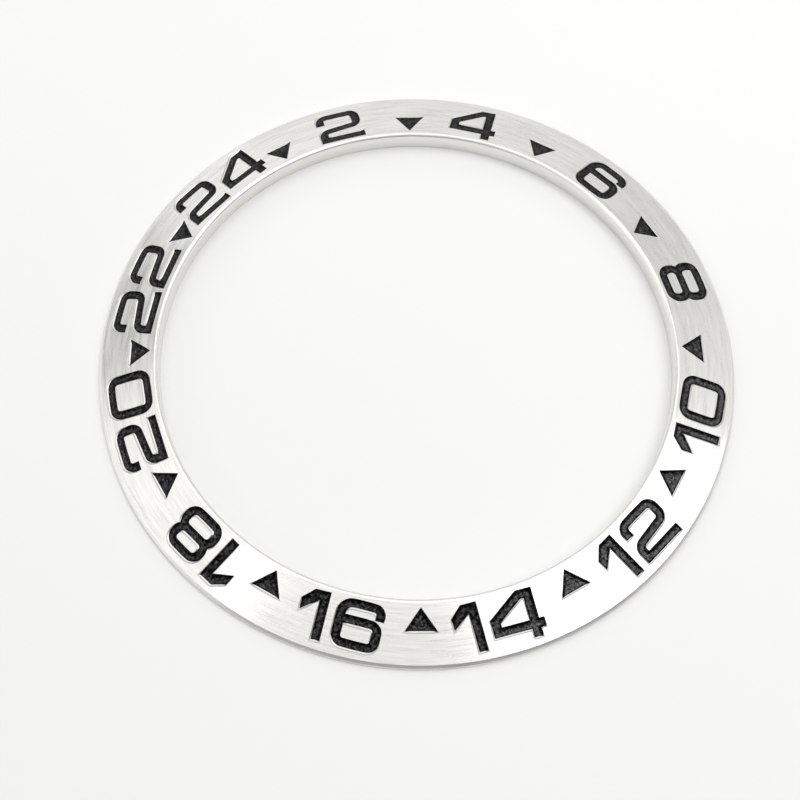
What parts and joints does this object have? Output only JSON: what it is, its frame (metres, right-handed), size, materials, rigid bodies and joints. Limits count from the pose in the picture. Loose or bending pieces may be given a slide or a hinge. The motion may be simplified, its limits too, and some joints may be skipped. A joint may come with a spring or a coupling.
{
  "type": "watch bezel insert ring",
  "caption": "Thin steel insert ring for a rotating watch bezel, with a sloping brushed face and black lacquered 24-hour numerals and triangles.",
  "frame": {"origin": "centre of the ring on its flat back face", "axes": "+Z along the ring's axis out of the lettered face, +Y towards hour 24, +X towards hour 6, hours clockwise seen from +Z"},
  "size_m": [0.038, 0.038, 0.0012],
  "materials": {
    "steel": "brushed along the circumference",
    "lacquer": "glossy black lacquer, slightly uneven"
  },
  "bodies": {
    "root": {"hour_01_triangle": "lacquer", "hour_02_digit": "lacquer", "hour_03_triangle": "lacquer", "hour_04_digit": "lacquer", "hour_05_triangle": "lacquer", "hour_06_digit": "lacquer", "hour_07_triangle": "lacquer", "hour_08_digit": "lacquer", "hour_09_triangle": "lacquer", "hour_10_left_digit": "lacquer", "hour_10_right_digit": "lacquer", "hour_11_triangle": "lacquer", "hour_12_left_digit": "lacquer", "hour_12_right_digit": "lacquer", "hour_13_triangle": "lacquer", "hour_14_left_digit": "lacquer", "hour_14_right_digit": "lacquer", "hour_15_triangle": "lacquer", "hour_16_left_digit": "lacquer", "hour_16_right_digit": "lacquer", "hour_17_triangle": "lacquer", "hour_18_left_digit": "lacquer", "hour_18_right_digit": "lacquer", "hour_19_triangle": "lacquer", "hour_20_left_digit": "lacquer", "hour_20_right_digit": "lacquer", "hour_21_triangle": "lacquer", "hour_22_left_digit": "lacquer", "hour_22_right_digit": "lacquer", "hour_23_triangle": "lacquer", "hour_24_left_digit": "lacquer", "hour_24_right_digit": "lacquer", "insert_ring": "steel"}
  },
  "joints": []
}
